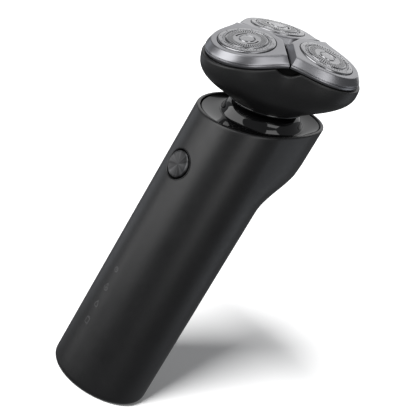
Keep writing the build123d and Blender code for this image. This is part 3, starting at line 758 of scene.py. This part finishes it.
def unit_outline(inset, gap, tip):
    """One unit's outline in its own frame: the lobe, the slot sides and the rounded blunt inner end."""
    half = pi / 3
    mean = LOBE_MEAN - inset
    points = []
    steps = 56
    for step in range(steps + 1):
        angle = -half + 2 * half * step / steps
        radius = lobe_radius(angle, mean, LOBE_DEPTH)
        angle *= (half - asin(gap / 2 / radius)) / half
        points.append(Vector((radius * sin(angle), UNIT_OFFSET - radius * cos(angle), 0)))
    near = gap / 2 / sin(half)
    right = Vector((tip * sin(half), UNIT_OFFSET - near - tip * cos(half), 0))
    reach = tip * 0.34
    along = (points[steps] - right).normalized() * reach
    turn_in, turn_out = right + along, right - Vector((reach, 0, 0))
    inner = [points[steps].lerp(turn_in, step / 18) for step in range(1, 19)]
    for step in range(1, 7):
        t = step / 6
        inner.append(turn_in * (1 - t) ** 2 + right * 2 * t * (1 - t) + turn_out * t ** 2)
    mirrored = [Vector((-point.x, point.y, 0)) for point in reversed(inner)]
    return points + inner + [Vector((0, right.y, 0))] + mirrored


def cover_rows():
    """The cover's section, from its inner wall over the skirt and the face and down into the hole."""
    foot = UNIT_HEIGHT / MM
    inner_gap, inner_tip = (SLOT / MM + 2.4) * MM, 4.8 * MM
    rows = [[point - Vector((0, 0, 3.95 * MM)) for point in unit_outline(1.1 * MM, inner_gap, inner_tip)]]
    for inset, down, widen in (
        (0.25, foot, 0.25), (0.08, foot - 0.05, 0.08), (0.02, foot - 0.25, 0.0), (0.0, 2.95, 0.0),
        (0.06, 2.86, 0.06), (0.3, 2.83, 0.3), (0.34, 2.76, 0.34), (0.3, 2.68, 0.3), (0.14, 2.62, 0.0),
        (0.13, 2.5, 0.0), (0.3, 2.2, 0.0), (0.62, 1.75, 0.0), (1.0, 1.25, 0.0), (1.4, 0.75, 0.0),
        (1.70, 0.36, 0.0), (1.83, 0.2, 0.0), (1.94, 0.09, 0.05), (2.06, 0.025, 0.2), (2.2, 0.0, 0.4),
    ):
        gap, tip = unit_sides(down)
        outline = unit_outline(inset * MM, (gap + widen) * MM, (tip + widen / 2) * MM)
        rows.append([point - Vector((0, 0, down * MM)) for point in outline])
    face = rows[-1]
    turns = [atan2(point.y, point.x) for point in face]
    hole = [Vector((cos(turn), sin(turn), 0)) for turn in turns]
    for share in (0.3, 0.6, 0.85):
        row = []
        for point, ray in zip(face, hole):
            edge = ray * (CAP_HOLE_R + 0.25 * MM)
            row.append(Vector((point.x, point.y, 0)).lerp(edge, share))
        rows.append(row)
    for out, down in ((0.25, 0), (0.1, 0.03), (0.02, 0.1), (0, 0.25), (0, 1.2), (0.6, 1.2)):
        drop = Vector((0, 0, down * MM))
        rows.append([ray * (CAP_HOLE_R + out * MM) - drop for ray in hole])
    under = unit_outline(2.9 * MM, inner_gap, inner_tip)
    rows.append([point - Vector((0, 0, 1.2 * MM)) for point in under])
    return rows


def unit_lugs(number):
    """Two ears inside the cover, each with a ring for the pivot pin."""
    bm = bmesh.new()
    here = unit_frame(number)
    for side in (-LUG_ASIDE, LUG_ASIDE):
        profile = [(0.85, -0.6), (1.3, -0.6), (1.3, 0.6), (0.85, 0.6)]
        rows = [circle_row(r * MM, z * MM, 32) for r, z in profile]
        pin = Matrix.Translation((side, 0, -PIN_DROP)) @ Matrix.Rotation(pi / 2, 4, "Y")
        add_grid(bm, rows, here @ pin, loop=True)
        plate = ((-0.6, -1.25), (0.6, -1.25), (0.6, 1.25), (-0.6, 1.25))
        rows = [[(x * MM, y * MM, z * MM) for x, y in plate] for z in (-3.7, -1.1)]
        add_block(bm, rows, here @ Matrix.Translation((side, 0, 0)))
    lugs = mesh_object(f"unit_lugs_{number + 1}", bm)
    finish_piece(lugs, f"unit_{number + 1}", M["unit"])


def unit_cover(number):
    """Silver top: flat face with a round hole, rounded shoulder, sloping skirt, line and lower band."""
    bm = bmesh.new()
    add_grid(bm, cover_rows(), unit_frame(number), loop=True)
    cover = mesh_object(f"unit_cover_{number + 1}", bm)
    unit_lugs(number)
    finish_piece(cover, f"unit_{number + 1}", M["unit"], [f"petal_{number + 1}"], 38)


def cap_angles():
    """Both edges of every slit and two places on the metal between it and the next."""
    slit_half, land = SLIT_PITCH * 0.2, SLIT_PITCH / 2
    shifts = (-slit_half, slit_half, (slit_half + land) / 2, land)
    return [slit * SLIT_PITCH + shift for slit in range(SLITS) for shift in shifts]


def cap_skin(number):
    """Perforated cap: hub, crescents, track with radial slits, groove ring and outer ring."""
    angles = cap_angles()
    rows = []
    for radius, height in CAP_PROFILE:
        if radius == 0:
            rows.append([(0, 0, height * MM)])
        else:
            rows.append([(radius * MM * cos(a), radius * MM * sin(a), height * MM) for a in angles])
    radii = [radius for radius, _ in CAP_PROFILE]
    slit_row, crescent_row = radii.index(SLIT_START), radii.index(CRESCENT_START)

    def open_here(row, column):
        if row == slit_row and column % (len(angles) // SLITS) == 0:
            return True
        turn = abs(((angles[column] + pi / 2) % pi) - pi / 2)
        return row == crescent_row and turn < radians(36)

    bm = bmesh.new()
    add_grid(bm, rows, unit_frame(number), skip=open_here)
    skin = mesh_object(f"cap_skin_{number + 1}", bm)
    thicken(skin, 0.42 * MM)
    return skin


def cap_details(number):
    """Embossed dots and ribs on the outer ring, and the two hidden rims below it."""
    bm = bmesh.new()
    here = unit_frame(number)
    for dot in range(DOTS):
        turn = 2 * pi * (dot + 0.5) / DOTS
        place = Matrix.Translation((DOT_CIRCLE * cos(turn), DOT_CIRCLE * sin(turn), 0.47 * MM))
        dome = [(0.32, -0.05), (0.29, 0.06), (0.18, 0.13), (0, 0.15)]
        add_grid(bm, [circle_row(r * MM, z * MM, 10) for r, z in dome], here @ place)
    for rib in range(SLITS):
        place = here @ Matrix.Rotation((rib + 0.5) * SLIT_PITCH, 4, "Z")
        ridge = [(8.3, 0.13), (8.9, 0.14), (8.9, -0.14), (8.3, -0.13)]
        rows = [[(x * MM, y * MM, z * MM) for x, y in ridge] for z in (0.45, 0.66)]
        made = add_grid(bm, rows, place)
        bm.faces.new(made[1])
    for low, high, radius in ((-2.1, -1.3, 11.2), (-2.9, -2.1, 9.9)):
        corners = ((9.2, low), (radius, low), (radius, high), (9.2, high))
        add_grid(bm, [circle_row(r * MM, z * MM, 96) for r, z in corners], here, loop=True)
    details = mesh_object(f"cap_details_{number + 1}", bm)
    finish_piece(details, f"cap_{number + 1}", M["cap"])


def shaving_cap(number):
    skin = cap_skin(number)
    cap_details(number)
    finish_piece(skin, f"cap_{number + 1}", M["cap"], [f"cap_{number + 1}"], 30)


# ---- CAD nodes that stay ----
KEPT = {
    "handle": ["base_cap"],
    "inner": ["chassis", "motor_end_cap", "gear_plate", "gearbox_cover"],
    "frame": ["cutter_frame"],
    "gear": ["drive_socket", "gimbal_ring", "centre_gear", "drive_gear_1", "drive_gear_2", "drive_gear_3",
             "spindle_1", "spindle_2", "spindle_3"],
    "rubber": ["base_o_ring", "socket_gasket", "button_seal", "deck_gasket", "shaft_seal"],
    "chip": ["socket_tongue", "board_chips"],
    "wrap": ["battery"],
    "cutter": ["cutter_1", "cutter_2", "cutter_3"],
    "steel": ["charge_socket", "power_switch", "latch_plates", "motor_plate", "motor_can", "motor_shaft",
              "gimbal_pins", "petal_pins"],
    "screw": ["case_screws", "motor_screws", "gearbox_screws"],
    "spring": ["centering_spring", "spindle_springs"],
    "nickel": ["battery_tabs", "motor_bushing"],
    "magnet": ["motor_magnets", "latch_magnets"],
    "core": ["rotor_core"],
    "board": ["circuit_board"],
    "clear": ["status_leds", "light_guide"],
}


def dress_kept_nodes():
    for material, names in KEPT.items():
        for name in names:
            data = frame["nodes"][name].data
            data.materials.clear()
            data.materials.append(M[material])


# ---- Stage, light and camera ----
def stage():
    """Plain pale floor that glows: painted light, faint near the shaver to lift its shadow and rising to
    white far away. Only the camera sees it, so the lights can reach below the table top.
    """
    bm = bmesh.new()
    rows = [[(0, 0, 0)]] + [circle_row(radius, 0, 96) for radius in (0.2, 0.6, 1.5, 4, 12, 40)]
    add_grid(bm, rows, Matrix.Translation((0, 0, -0.0001)))
    floor = mesh_object("floor", bm)
    shade = Shader("floor_paper", (0.86, 0.86, 0.86), 0.9)
    shade.vary_colour(shade.noise("Object", (8, 8, 8), 3), (0.85, 0.85, 0.85), (0.87, 0.87, 0.87))
    shade.set("Specular IOR Level", 0.1)
    shade.set("Emission Color", (1, 1, 1, 1))
    # painted light: emission grows with the distance from the shaver, from a faint fill in the shadow to
    # full white
    far = shade.node("ShaderNodeVectorMath", operation="LENGTH")
    shade.links.new(shade.coordinates("Object", (1, 1, 1)), far.inputs[0])
    glow = shade.node("ShaderNodeMapRange", in_From_Min=0.1, in_From_Max=1.4,
                      in_To_Min=0.09, in_To_Max=1.1)
    shade.links.new(far.outputs["Value"], glow.inputs["Value"])
    shade.links.new(glow.outputs["Result"], shade.bsdf.inputs["Emission Strength"])
    path = shade.node("ShaderNodeLightPath")
    clear = shade.node("ShaderNodeBsdfTransparent")
    mix = shade.node("ShaderNodeMixShader")
    shade.links.new(path.outputs["Is Camera Ray"], mix.inputs["Fac"])
    shade.links.new(clear.outputs["BSDF"], mix.inputs[1])
    shade.links.new(shade.bsdf.outputs["BSDF"], mix.inputs[2])
    shade.links.new(mix.outputs["Shader"], shade.nodes["Material Output"].inputs["Surface"])
    floor.data.materials.append(shade.material)


def world():
    """White backdrop for the camera, dimmer surroundings for light and reflections."""
    made = bpy.data.worlds.new("studio")
    bpy.context.scene.world = made
    made.use_nodes = True
    nodes, links = made.node_tree.nodes, made.node_tree.links
    backdrop = nodes["Background"]
    backdrop.inputs["Color"].default_value = (1, 1, 1, 1)
    backdrop.inputs["Strength"].default_value = 1.05
    room = nodes.new("ShaderNodeBackground")
    room.inputs["Color"].default_value = (0.95, 0.97, 1, 1)
    room.inputs["Strength"].default_value = 0.16
    path = nodes.new("ShaderNodeLightPath")
    mix = nodes.new("ShaderNodeMixShader")
    links.new(path.outputs["Is Camera Ray"], mix.inputs["Fac"])
    links.new(room.outputs["Background"], mix.inputs[1])
    links.new(backdrop.outputs["Background"], mix.inputs[2])
    links.new(mix.outputs["Shader"], nodes["World Output"].inputs["Surface"])


def softbox(name, position, target, size, power, colour=(1, 1, 1)):
    data = bpy.data.lights.new(name, "AREA")
    data.shape = "RECTANGLE"
    data.size, data.size_y = size
    data.energy = power
    data.color = colour
    lamp = bpy.data.objects.new(name, data)
    lamp.location = position
    lamp.rotation_mode = "QUATERNION"
    lamp.rotation_quaternion = (Vector(target) - Vector(position)).to_track_quat("-Z", "Y")
    bpy.context.scene.collection.objects.link(lamp)


CAMERA_AZIMUTH = 0.764
CAMERA_ELEVATION = 0.243
CAMERA_DISTANCE = 341 * MM
CAMERA_ROLL = radians(30.745)
CAMERA_LENS = 75.24
CAMERA_AIM = Vector((0, 0, 75)) * MM
CAMERA_SHIFT_RIGHT = 4.167 * MM
CAMERA_SHIFT_UP = 9.153 * MM


def camera_axes():
    level = cos(CAMERA_ELEVATION)
    right = Vector((cos(CAMERA_AZIMUTH), sin(CAMERA_AZIMUTH), 0))
    ahead = Vector((-sin(CAMERA_AZIMUTH) * level, cos(CAMERA_AZIMUTH) * level, -sin(CAMERA_ELEVATION)))
    return right, ahead, right.cross(ahead)


def camera():
    """The camera leans to one side, so that the standing handle lies across the picture."""
    right, ahead, up = camera_axes()
    target = CAMERA_AIM + right * CAMERA_SHIFT_RIGHT + up * CAMERA_SHIFT_UP
    leaned_right = right * cos(CAMERA_ROLL) + up * sin(CAMERA_ROLL)
    leaned_up = up * cos(CAMERA_ROLL) - right * sin(CAMERA_ROLL)
    data = bpy.data.cameras.new("photo_camera")
    data.lens, data.sensor_width = CAMERA_LENS, 36
    data.clip_start, data.clip_end = 0.01, 100
    view = bpy.data.objects.new("photo_camera", data)
    turn = Matrix((leaned_right, leaned_up, -ahead)).transposed()
    view.rotation_mode = "QUATERNION"
    view.rotation_quaternion = turn.to_quaternion()
    view.location = target - ahead * CAMERA_DISTANCE
    bpy.context.scene.collection.objects.link(view)
    bpy.context.scene.camera = view


def lights():
    """Tall soft boxes all round, named by side; the floor has a lamp of its own for its shadow."""
    right, ahead, up = camera_axes()
    middle = Vector((0, 0, 80)) * MM
    flat = Vector((-ahead.x, -ahead.y, 0)).normalized()

    def box(name, side, rise, size, radiance, colour=(1, 1, 1), distance=1.0):
        """A soft box at angles to the right of and above the camera, both seen from the shaver."""
        away = Matrix.Rotation(radians(side), 3, "Z") @ flat * cos(radians(rise))
        place = middle + (away + Vector((0, 0, sin(radians(rise))))) * distance
        softbox(name, place, middle, size, radiance * pi * size[0] * size[1], colour)

    box("key_left", -50, 20, (0.78, 1.45), 3.0)
    box("key_left_far", -82, -10, (0.35, 0.60), 1.7)
    box("edge_left", -125, -6, (0.5, 0.70), 0.6, (0.9, 0.94, 1))
    box("fill_right", 27, 20, (0.40, 1.3), 2.2)
    box("edge_right", 105, 0, (0.6, 0.8), 0.6, (0.9, 0.94, 1))
    box("behind", 185, 38, (1.3, 1.0), 1.0)
    box("overhead", 0, 85, (0.5, 0.5), 1.5)
    box("window_left", -79, 6, (1.3, 1.3), 1.5)
    box("window_right", 34, 50, (0.5, 0.95), 1.4)
    box("window_behind", 190, 36, (1.3, 1.0), 0.35)
    box("floor_lamp", -26, 40, (0.9, 0.9), 84, distance=3)


def link_lights():
    """The floor has its own lamp, and the polished deck and neck mirror their own three windows."""
    floor = [bpy.data.objects["floor"]]
    polished = [bpy.data.objects[name] for name in ("deck_dish", "neck_collar_skin", "neck_ears")]
    for light in [item for item in bpy.data.objects if item.type == "LIGHT"]:
        linked = bpy.data.collections.new("lit_by_" + light.name)
        only = polished if light.name.startswith("window") else floor if light.name == "floor_lamp" else None
        for piece in only or floor + polished:
            linked.objects.link(piece)
        if only is None:
            for entry in linked.collection_objects:
                entry.light_linking.link_state = "EXCLUDE"
        light.light_linking.receiver_collection = linked


camera()
world()
stage()
handle_shell()
button_well()
power_button()
status_icons()
deck_plate()
neck_collar()
head_shell()
notch_screens()
shell_ring()
for unit in range(3):
    unit_cover(unit)
    shaving_cap(unit)
dress_kept_nodes()
lights()
link_lights()
bpy.context.scene.view_settings.view_transform = "Standard"
